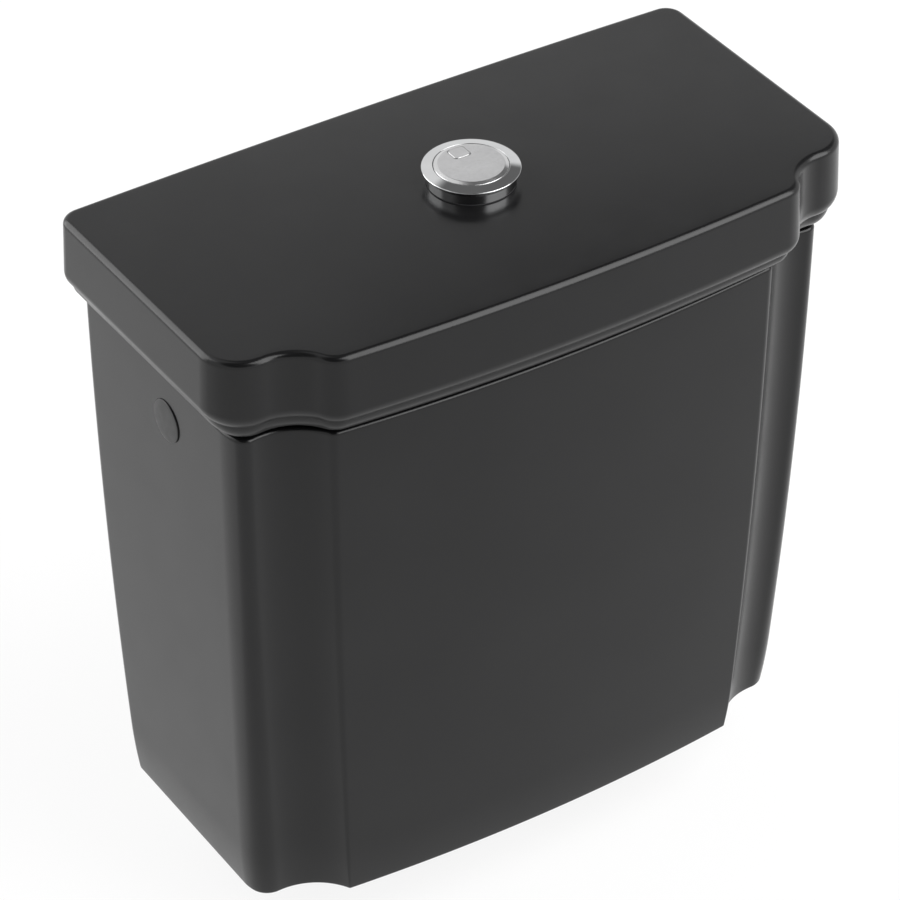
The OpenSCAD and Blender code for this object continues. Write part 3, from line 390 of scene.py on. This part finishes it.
def piece(name, bm, body, slot, *nodes):
    """Makes a mesh a shown piece of the cistern, in place of the solids it stands for."""
    mesh = bpy.data.meshes.new(name)
    bm.to_mesh(mesh)
    bm.free()
    mesh.shade_smooth()
    mesh.set_sharp_from_angle(angle=SHARP_ANGLE)
    obj = bpy.data.objects.new(name, mesh)
    bpy.context.scene.collection.objects.link(obj)
    mesh.materials.append(finishes[slot])
    even = obj.modifiers.new("even_shading", "WEIGHTED_NORMAL")
    even.keep_sharp = True
    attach(obj, body)
    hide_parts(*nodes)
    return obj


# Finishes
# The range that holds most of a noise's values
NOISE_LOW = 0.3
NOISE_HIGH = 0.7


def shader_of(name):
    finish = bpy.data.materials.new(name)
    finish.use_nodes = True
    return finish, finish.node_tree, finish.node_tree.nodes["Principled BSDF"]


def grain(tree, scale, detail=3, stretch=(1, 1, 1)):
    """Noise on the piece's own coordinates."""
    place = tree.nodes.new("ShaderNodeTexCoord")
    turn = tree.nodes.new("ShaderNodeMapping")
    turn.inputs["Scale"].default_value = stretch
    noise = tree.nodes.new("ShaderNodeTexNoise")
    noise.inputs["Scale"].default_value = scale
    noise.inputs["Detail"].default_value = detail
    tree.links.new(place.outputs["Object"], turn.inputs["Vector"])
    tree.links.new(turn.outputs["Vector"], noise.inputs["Vector"])
    return noise.outputs["Fac"]


def tint(tree, shader, fac, dark, light):
    ramp = tree.nodes.new("ShaderNodeValToRGB")
    ramp.color_ramp.elements[0].position = NOISE_LOW
    ramp.color_ramp.elements[1].position = NOISE_HIGH
    ramp.color_ramp.elements[0].color = (*dark, 1)
    ramp.color_ramp.elements[1].color = (*light, 1)
    tree.links.new(fac, ramp.inputs["Fac"])
    tree.links.new(ramp.outputs["Color"], shader.inputs["Base Color"])


def sheen_spread(tree, shader, fac, low, high):
    spread = tree.nodes.new("ShaderNodeMapRange")
    spread.inputs["From Min"].default_value = NOISE_LOW
    spread.inputs["From Max"].default_value = NOISE_HIGH
    spread.inputs["To Min"].default_value = low
    spread.inputs["To Max"].default_value = high
    tree.links.new(fac, spread.inputs["Value"])
    tree.links.new(spread.outputs["Result"], shader.inputs["Roughness"])


def relief(tree, shader, layers):
    """Bumps of (noise, strength, depth), each over the last."""
    under = None
    for fac, strength, depth in layers:
        bump = tree.nodes.new("ShaderNodeBump")
        bump.inputs["Strength"].default_value = strength
        bump.inputs["Distance"].default_value = depth
        tree.links.new(fac, bump.inputs["Height"])
        if under:
            tree.links.new(under, bump.inputs["Normal"])
        under = bump.outputs["Normal"]
    tree.links.new(under, shader.inputs["Normal"])


def black_glaze():
    finish, tree, shader = shader_of("black_glaze")
    shader.inputs["IOR"].default_value = 1.37
    cloud = grain(tree, 14, 4)
    tint(tree, shader, cloud, (0.0036, 0.0036, 0.0039), (0.0052, 0.0052, 0.0055))
    sheen_spread(tree, shader, grain(tree, 40, 4), 0.20, 0.26)
    waves = (grain(tree, 260, 2), 0.06, 0.0002)
    pores = (grain(tree, 1800, 2), 0.05, 0.00005)
    relief(tree, shader, [waves, pores])
    return finish


def chrome():
    finish, tree, shader = shader_of("chrome")
    shader.inputs["Metallic"].default_value = 1
    tint(tree, shader, grain(tree, 60, 3), (0.57, 0.575, 0.58), (0.62, 0.625, 0.63))
    sheen_spread(tree, shader, grain(tree, 220, 4), 0.03, 0.06)
    relief(tree, shader, [(grain(tree, 1500, 3), 0.02, 0.00005)])
    return finish


def satin_chrome():
    finish, tree, shader = shader_of("satin_chrome")
    shader.inputs["Metallic"].default_value = 1
    tint(tree, shader, grain(tree, 90, 3), (0.57, 0.57, 0.575), (0.61, 0.61, 0.615))
    sheen_spread(tree, shader, grain(tree, 500, 4), 0.16, 0.21)
    relief(tree, shader, [(grain(tree, 4000, 3), 0.03, 0.00001)])
    return finish


def moulded(name, dark, light, rough=(0.38, 0.48)):
    finish, tree, shader = shader_of(name)
    tint(tree, shader, grain(tree, 35, 4), dark, light)
    sheen_spread(tree, shader, grain(tree, 160, 4), *rough)
    pores = (grain(tree, 2200, 2), 0.12, 0.00005)
    waves = (grain(tree, 70, 2), 0.05, 0.0004)
    relief(tree, shader, [pores, waves])
    return finish


def rubber():
    finish, tree, shader = shader_of("rubber")
    tint(tree, shader, grain(tree, 90, 5), (0.022, 0.022, 0.024), (0.034, 0.034, 0.036))
    sheen_spread(tree, shader, grain(tree, 300, 4), 0.62, 0.78)
    relief(tree, shader, [(grain(tree, 1600, 4), 0.25, 0.00006)])
    return finish


def worked_metal(name, dark, light, rough, stretch):
    finish, tree, shader = shader_of(name)
    shader.inputs["Metallic"].default_value = 1
    tint(tree, shader, grain(tree, 45, 4), dark, light)
    sheen_spread(tree, shader, grain(tree, 120, 4), *rough)
    relief(tree, shader, [(grain(tree, 900, 3, stretch), 0.12, 0.00005)])
    return finish


finishes = {
    "black_glaze": black_glaze(),
    "chrome": chrome(),
    "satin_chrome": satin_chrome(),
    "black_plastic": moulded("black_plastic", (0.0065, 0.0065, 0.0068), (0.0090, 0.0090, 0.0093)),
    "rubber": rubber(),
    "white_plastic": moulded("white_plastic", (0.74, 0.74, 0.72), (0.80, 0.80, 0.79)),
    "blue_plastic": moulded("blue_plastic", (0.035, 0.105, 0.26), (0.045, 0.125, 0.30)),
    "grey_plastic": moulded("grey_plastic", (0.20, 0.21, 0.22), (0.24, 0.25, 0.26)),
    "brass": worked_metal("brass", (0.52, 0.34, 0.11), (0.60, 0.41, 0.15), (0.24, 0.36), (1, 1, 8)),
    "steel": worked_metal("steel", (0.48, 0.48, 0.49), (0.56, 0.56, 0.57), (0.22, 0.34), (1, 1, 8)),
}


# Tank and lid
def tank_rings():
    wall_low = FLOOR_Z + FLOOR_FILLET
    wall_high = RIM_Z - RIM_ROUND
    rings = []
    for a in angles(8):
        floor_line = inset(inner_line(FLOOR_Z), FLOOR_FILLET * (1 - math.sin(a)), INNER_LEAST_R)
        rings.append(level(floor_line, FLOOR_Z + FLOOR_FILLET * (1 - math.cos(a))))
    for share in shares(12)[1:]:
        z = wall_low + (wall_high - wall_low) * share
        rings.append(level(inner_line(z), z))
    for a in angles(6)[1:]:
        rim_in = WALL_T - RIM_ROUND * (1 - math.cos(a))
        line = inset(wall_line(wall_high), rim_in, INNER_LEAST_R)
        rings.append(level(line, wall_high + RIM_ROUND * math.sin(a)))
    for a in angles(6):
        line = inset(wall_line(wall_high), RIM_ROUND * (1 - math.sin(a)))
        rings.append(level(line, RIM_Z - RIM_ROUND * (1 - math.cos(a))))
    for share in shares(18)[1:]:
        z = wall_high + (BASE_ROUND_H - wall_high) * share
        rings.append(level(outer_line(z), z))
    for share in shares(8)[1:]:
        z = BASE_ROUND_H + (FOOT_EDGE - BASE_ROUND_H) * share
        rings.append(level(outer_line(z), z))
    foot = outer_line(0)
    for a in angles(4)[1:]:
        line = inset(foot, FOOT_EDGE * (1 - math.cos(a)))
        rings.append(level(line, FOOT_EDGE * (1 - math.sin(a))))
    rings.append(level(inset(foot, FOOT_W, INNER_LEAST_R), 0))
    rings.append(level(inset(foot, FOOT_W + RECESS_DRAFT, INNER_LEAST_R), FOOT_H))
    return rings


SPOT_IN_X = inner_line(SIDE_Z + SPOT_IN_R).half_w
PLUG_SPOT_X = outer_line(SIDE_Z - PLUG_SPOT_R).half_w
NUT_SPOT_X = outer_line(SIDE_Z - NUT_SPOT_R).half_w


def side_place(side, x):
    """A side fitting's place, with its own vertical axis out through the wall."""
    turn = Matrix.Rotation(math.radians(90 * side), 4, "Y")
    return Matrix.Translation((side * x, SIDE_Y, SIDE_Z)) @ turn


def tank_cutters():
    cutters = bmesh.new()
    floor_end = FLOOR_Z + WALL_T
    drill(cutters, Matrix.Identity(4), OUTLET_R, -WALL_T, floor_end, 128)
    for side in (-1, 1):
        bolt = Matrix.Translation((side * BOLT_X, 0, 0))
        drill(cutters, bolt, BOLT_HOLE_R, -WALL_T, floor_end)
        back = Matrix.Translation((side * SCREW_X, RIM_LINE.back, SCREW_Z))
        screw = back @ Matrix.Rotation(math.radians(90), 4, "X")
        drill(cutters, screw, SCREW_HOLE_R, -WALL_T, 3 * WALL_T, 48)
    for side, spot_x, spot_r in ((-1, PLUG_SPOT_X, PLUG_SPOT_R), (1, NUT_SPOT_X, NUT_SPOT_R)):
        profile = [
            (0, -WALL_T), (SPOT_IN_R, -WALL_T), (SPOT_IN_R, 0), (SIDE_HOLE_R, 0),
            (SIDE_HOLE_R, spot_x - SPOT_IN_X), (spot_r, spot_x - SPOT_IN_X),
            (spot_r, spot_x - SPOT_IN_X + WALL_T), (0, spot_x - SPOT_IN_X + WALL_T),
        ]
        stepped_drill(cutters, side_place(side, SPOT_IN_X), profile)
    return cutters


def lid_rings():
    bead_z = LID_Z + BEAD_H
    bead_in = LOWER_ROUND * (1 - math.cos(math.radians(LOWER_END))) + BEAD_STEP
    bead_w = LID_OVER - bead_in
    lower_z = bead_z + LOWER_ROUND * math.sin(math.radians(LOWER_END))
    top_line = inset(LID_LINE, LID_FLARE + LID_ROUND)
    rings = [crowned(top_line, LID_EDGE_Z, share) for share in TOP_SHARES]
    for a in angles(10):
        line = inset(LID_LINE, LID_FLARE + LID_ROUND * (1 - math.sin(a)))
        rings.append(crowned(line, LID_EDGE_Z - LID_ROUND * (1 - math.cos(a))))
    for a in angles(10, LOWER_END):
        line = moulding(LOWER_ROUND * (1 - math.cos(a)))
        rings.append(level(line, lower_z - LOWER_ROUND * math.sin(a)))
    for a in angles(10):
        line = moulding(bead_in + bead_w * (1 - math.cos(a)))
        rings.append(level(line, bead_z - BEAD_H * math.sin(a)))
    lip_low = RIM_Z - LIP_H
    rings.append(level(inset(RIM_LINE, LIP_INSET, INNER_LEAST_R), LID_Z))
    for a in angles(4):
        line = inset(RIM_LINE, LIP_INSET + LIP_ROUND * (1 - math.cos(a)), INNER_LEAST_R)
        rings.append(level(line, lip_low + LIP_ROUND * (1 - math.sin(a))))
    for a in angles(4):
        line = inset(RIM_LINE, LIP_INSET + LIP_T - LIP_ROUND * (1 - math.sin(a)), INNER_LEAST_R)
        rings.append(level(line, lip_low + LIP_ROUND * (1 - math.cos(a))))
    for a in angles(8):
        line = inset(RIM_LINE, LIP_INSET + LIP_T + LID_FILLET * (1 - math.cos(a)), INNER_LEAST_R)
        rings.append(level(line, LID_UNDER_Z - LID_FILLET * (1 - math.sin(a))))
    return rings


def lid_cutters():
    cutters = bmesh.new()
    seat_z = LID_TOP_Z - SEAT_CUT
    profile = [
        (0, LID_UNDER_Z - LID_T), (BUTTON_HOLE_R, LID_UNDER_Z - LID_T), (BUTTON_HOLE_R, seat_z),
        (SEAT_R, seat_z), (SEAT_R, seat_z + LID_T), (0, seat_z + LID_T),
    ]
    stepped_drill(cutters, Matrix.Identity(4), profile, 128)
    return cutters


piece("glazed_tank", cut(lofted(tank_rings()), tank_cutters()), "tank", "black_glaze", "tank")
piece("glazed_lid", cut(lofted(lid_rings()), lid_cutters()), "lid", "black_glaze", "lid")

# Button set
BEZEL_RIM_R = bezel_high.x
BEZEL_SIDE_R = 0.0244
BEZEL_BORE_R = 0.0206
GASKET_T = 0.0006
BEZEL_FLANGE_T = 0.0022
BEZEL_Z = LID_TOP_Z - SEAT_CUT + GASKET_T
CUP_Z = BEZEL_Z + BEZEL_FLANGE_T
BEVEL_H = 0.0011
FLARE_LOW = 0.0032
RIM_EDGE = 0.001
BEZEL_EDGE = 0.0003
NECK_R = 0.0195
NECK_BORE_R = 0.0165
NECK_PLATE_T = 0.002
DISC_EDGE_W = 0.0021
DISC_EDGE_H = 0.0009
DISC_ROUND = 0.0002
SLIDE_GAP = 0.0003
HALF_CORNER_R = 0.002
HALF_EDGE = 0.0002
ROD_HOLE_R = 0.0028


def rounded_block(low, high, corner_r, steps=8):
    """Upright block with rounded corners, between two opposite corners."""
    bm = bmesh.new()
    size = high - low
    place = Matrix.Translation((low + high) / 2) @ Matrix.Diagonal((*size, 1))
    bmesh.ops.create_cube(bm, size=1, matrix=place)
    upright = [e for e in bm.edges if abs(e.verts[0].co.z - e.verts[1].co.z) > size.z / 2]
    bmesh.ops.bevel(
        bm, geom=upright, offset=corner_r, offset_type="OFFSET", segments=steps,
        profile=0.5, affect="EDGES", clamp_overlap=True, material=-1,
    )
    return bm


def bezel():
    rim_z = bezel_high.z - BEVEL_H
    bm = turned([
        (0, bezel_low.z), (NECK_R, bezel_low.z), (NECK_R, BEZEL_Z), (BEZEL_SIDE_R, BEZEL_Z),
        (BEZEL_SIDE_R, rim_z - FLARE_LOW), (BEZEL_RIM_R, rim_z - RIM_EDGE), (BEZEL_RIM_R, rim_z),
        (BEZEL_BORE_R, bezel_high.z), (BEZEL_BORE_R, CUP_Z), (NECK_BORE_R, CUP_Z),
        (NECK_BORE_R, bezel_low.z + NECK_PLATE_T), (0, bezel_low.z + NECK_PLATE_T),
    ])
    soften(bm, BEZEL_EDGE)
    cutters = bmesh.new()
    for rod in ("full_flush_rod", "half_flush_rod"):
        low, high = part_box(rod)
        centre = (low + high) / 2
        drill(
            cutters, Matrix.Translation((centre.x, centre.y, bezel_low.z)), ROD_HOLE_R,
            -NECK_PLATE_T, 2 * NECK_PLATE_T, 48,
        )
    return cut(bm, cutters)


def large_button():
    bm = turned([
        (0, disc_low.z), (disc_high.x, disc_low.z), (disc_high.x, disc_high.z - DISC_EDGE_H),
        (disc_high.x - DISC_EDGE_W, disc_high.z), (0, disc_high.z),
    ])
    soften(bm, DISC_ROUND, least=15)
    room = Vector((SLIDE_GAP, SLIDE_GAP, WALL_T))
    return cut(bm, rounded_block(half_low - room, half_high + room, HALF_CORNER_R))


def small_button():
    bm = rounded_block(half_low, half_high, HALF_CORNER_R)
    soften(bm, HALF_EDGE, least=60)
    return bm


piece("chrome_bezel", bezel(), "lid", "chrome", "button_bezel")
piece("large_button", large_button(), "full_button", "satin_chrome", "full_flush_button")
piece("small_button", small_button(), "half_button", "satin_chrome", "half_flush_button")

# Return springs
WIRE_R = 0.0005
SPRING_TURNS = 8


def coil(low, high, steps=32):
    """Spring wire wound between two opposite corners of its box."""
    bm = bmesh.new()
    centre = (low + high) / 2
    r = (high.x - low.x) / 2 - WIRE_R
    rise = high.z - low.z - 2 * WIRE_R
    lead = math.atan(rise / SPRING_TURNS / (math.tau * r))
    start = Matrix.Translation((centre.x + r, centre.y, low.z + WIRE_R))
    lie = Matrix.Rotation(lead, 4, "X") @ Matrix.Rotation(math.radians(90), 4, "X")
    bmesh.ops.create_circle(bm, cap_ends=True, segments=12, radius=WIRE_R, matrix=start @ lie)
    count = SPRING_TURNS * steps
    bmesh.ops.spin(
        bm, geom=bm.verts[:] + bm.edges[:] + bm.faces[:], cent=(centre.x, centre.y, 0),
        axis=(0, 0, 1), angle=math.tau * SPRING_TURNS, steps=count, dvec=(0, 0, rise / count),
    )
    bmesh.ops.remove_doubles(bm, verts=bm.verts, dist=1e-7)
    bmesh.ops.recalc_face_normals(bm, faces=bm.faces)
    return bm


for name, joint in (("full_flush_spring", "full_flush"), ("half_flush_spring", "half_flush")):
    low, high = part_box(name)
    spring = piece(name + "_coil", coil(low, high), "lid", "steel", name)
    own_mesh(spring)

# Side plug
PLUG_PROUD = 0.0014
PLUG_DOME = 0.0006
PLUG_STEM_R = 0.0075
PLUG_EDGE = 0.0004


def side_plug():
    head_r = (plug_high.y - plug_low.y) / 2
    stem = -plug_high.x
    edge = -plug_low.x - PLUG_DOME
    seat = -plug_low.x - PLUG_PROUD
    dome = [(head_r * math.sin(a), edge + PLUG_DOME * math.cos(a)) for a in angles(8)]
    bm = turned([(0, stem), (PLUG_STEM_R, stem), (PLUG_STEM_R, seat), (head_r, seat)] + dome[::-1])
    soften(bm, PLUG_EDGE, least=50)
    centre = (plug_low + plug_high) / 2
    turn = Matrix.Rotation(math.radians(-90), 4, "Y")
    bm.transform(Matrix.Translation((0, centre.y, centre.z)) @ turn)
    return bm


piece("side_plug", side_plug(), "tank", "black_plastic", "blanking_plug")

# Fittings that keep their solids
slot_of = {row["node"]: row["material_slot"] for row in frame["record"]["subparts"]}
for name, node in frame["nodes"].items():
    if not node.hide_render:
        node.data.materials.clear()
        node.data.materials.append(finishes[slot_of[name]])

# Studio
FLOOR_SIZE = 8
FLOOR_GLOW = 1.0
FLOOR_GLOW_SHARE = 0.85
DARK_CEILING = (0.5, 0.2, 0.84)
CEILING_LEVEL = 0.18
DARK_FRONT = (-0.3, -0.5, 0.81)
FRONT_LEVEL = 0.05
LAMP_AIM = (0, 0, 0.35)
floor_bm = bmesh.new()
bmesh.ops.create_grid(
    floor_bm, x_segments=1, y_segments=1, size=FLOOR_SIZE / 2,
    matrix=Matrix.Translation((0, 0, cad_low.z)),
)
floor_mesh = bpy.data.meshes.new("studio_floor")
floor_bm.to_mesh(floor_mesh)
floor_bm.free()
studio_floor = bpy.data.objects.new("studio_floor", floor_mesh)
bpy.context.scene.collection.objects.link(studio_floor)
studio_floor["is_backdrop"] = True


def seen_directly(tree):
    """1 for rays from the camera, off metal or through glass."""
    path = tree.nodes.new("ShaderNodeLightPath")
    total = path.outputs["Is Camera Ray"]
    for name in ("Is Glossy Ray", "Is Transmission Ray"):
        add = tree.nodes.new("ShaderNodeMath")
        add.operation = "ADD"
        add.use_clamp = True
        tree.links.new(total, add.inputs[0])
        tree.links.new(path.outputs[name], add.inputs[1])
        total = add.outputs["Value"]
    return total


floor_finish, floor_tree, floor_shader = shader_of("studio_floor")
floor_shader.inputs["Base Color"].default_value = (0.9, 0.9, 0.9, 1)
floor_shader.inputs["Roughness"].default_value = 0.9
floor_glow = floor_tree.nodes.new("ShaderNodeEmission")
floor_mix = floor_tree.nodes.new("ShaderNodeMixShader")
floor_part = floor_tree.nodes.new("ShaderNodeMath")
floor_part.operation = "MULTIPLY"
floor_part.inputs[1].default_value = FLOOR_GLOW_SHARE
floor_glow.inputs["Strength"].default_value = FLOOR_GLOW
floor_tree.links.new(seen_directly(floor_tree), floor_part.inputs[0])
floor_tree.links.new(floor_part.outputs["Value"], floor_mix.inputs["Fac"])
floor_tree.links.new(floor_shader.outputs["BSDF"], floor_mix.inputs[1])
floor_tree.links.new(floor_glow.outputs["Emission"], floor_mix.inputs[2])
floor_output = floor_tree.nodes["Material Output"]
floor_tree.links.new(floor_mix.outputs["Shader"], floor_output.inputs["Surface"])
floor_mesh.materials.append(floor_finish)

world = bpy.data.worlds.new("studio")
bpy.context.scene.world = world
world.use_nodes = True
sky = world.node_tree
backdrop = sky.nodes["Background"]
direction = sky.nodes.new("ShaderNodeTexCoord")


def dark_panel(centre, inner, outer, dimmed):
    """A round dark part of the sky, 1 outside it; inner and outer are the cosines of its edge."""
    aim = sky.nodes.new("ShaderNodeVectorMath")
    aim.operation = "DOT_PRODUCT"
    aim.inputs[1].default_value = Vector(centre).normalized()
    sky.links.new(direction.outputs["Generated"], aim.inputs[0])
    fade = sky.nodes.new("ShaderNodeMapRange")
    fade.interpolation_type = "SMOOTHSTEP"
    fade.inputs["From Min"].default_value = outer
    fade.inputs["From Max"].default_value = inner
    fade.inputs["To Min"].default_value = 1
    fade.inputs["To Max"].default_value = dimmed
    sky.links.new(aim.outputs["Value"], fade.inputs["Value"])
    return fade.outputs["Result"]


ceiling = dark_panel(DARK_CEILING, inner=0.878, outer=0.83, dimmed=CEILING_LEVEL)
front = dark_panel(DARK_FRONT, inner=0.85, outer=0.75, dimmed=FRONT_LEVEL)
panels = sky.nodes.new("ShaderNodeMath")
panels.operation = "MULTIPLY"
sky.links.new(ceiling, panels.inputs[0])
sky.links.new(front, panels.inputs[1])
shade = sky.nodes.new("ShaderNodeMix")
shade.data_type = "FLOAT"
shade.inputs["B"].default_value = 1
path = sky.nodes.new("ShaderNodeLightPath")
sky.links.new(path.outputs["Is Camera Ray"], shade.inputs["Factor"])
sky.links.new(panels.outputs["Value"], shade.inputs["A"])
sky.links.new(shade.outputs["Result"], backdrop.inputs["Strength"])
backdrop.inputs["Color"].default_value = (1, 1, 1, 1)


def softbox(name, place, aim, size, power):
    lamp = bpy.data.lights.new(name, "AREA")
    lamp.shape = "RECTANGLE"
    lamp.size, lamp.size_y = size
    lamp.energy = power
    obj = bpy.data.objects.new(name, lamp)
    obj.location = place
    obj.rotation_euler = (Vector(aim) - Vector(place)).to_track_quat("-Z", "Y").to_euler()
    bpy.context.scene.collection.objects.link(obj)


softbox("left_softbox", place=(-1.5, 1.7, 1.3), aim=LAMP_AIM, size=(2.0, 2.6), power=56)
softbox("front_softbox", place=(1.1, -1.5, 2.0), aim=LAMP_AIM, size=(2.4, 2.8), power=100)

# Camera at the photograph's viewing angle
AZIMUTH = math.radians(32.915)
ELEVATION = math.radians(36.855)
LENS = 175.44
CAMERA_PLACE = (-1.0722, -1.6357, 1.6741)
camera = bpy.data.objects.new("camera", bpy.data.cameras.new("camera"))
camera.data.sensor_width = 36
camera.data.lens = LENS
ahead = Vector((
    math.sin(AZIMUTH) * math.cos(ELEVATION),
    math.cos(AZIMUTH) * math.cos(ELEVATION),
    -math.sin(ELEVATION),
))
across = Vector((math.cos(AZIMUTH), -math.sin(AZIMUTH), 0))
up = across.cross(ahead)
camera.matrix_world = Matrix.Translation(CAMERA_PLACE) @ Matrix(
    (across, up, -ahead)
).transposed().to_4x4()
bpy.context.scene.collection.objects.link(camera)
bpy.context.scene.camera = camera
bpy.context.scene.view_settings.view_transform = "Standard"

low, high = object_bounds()
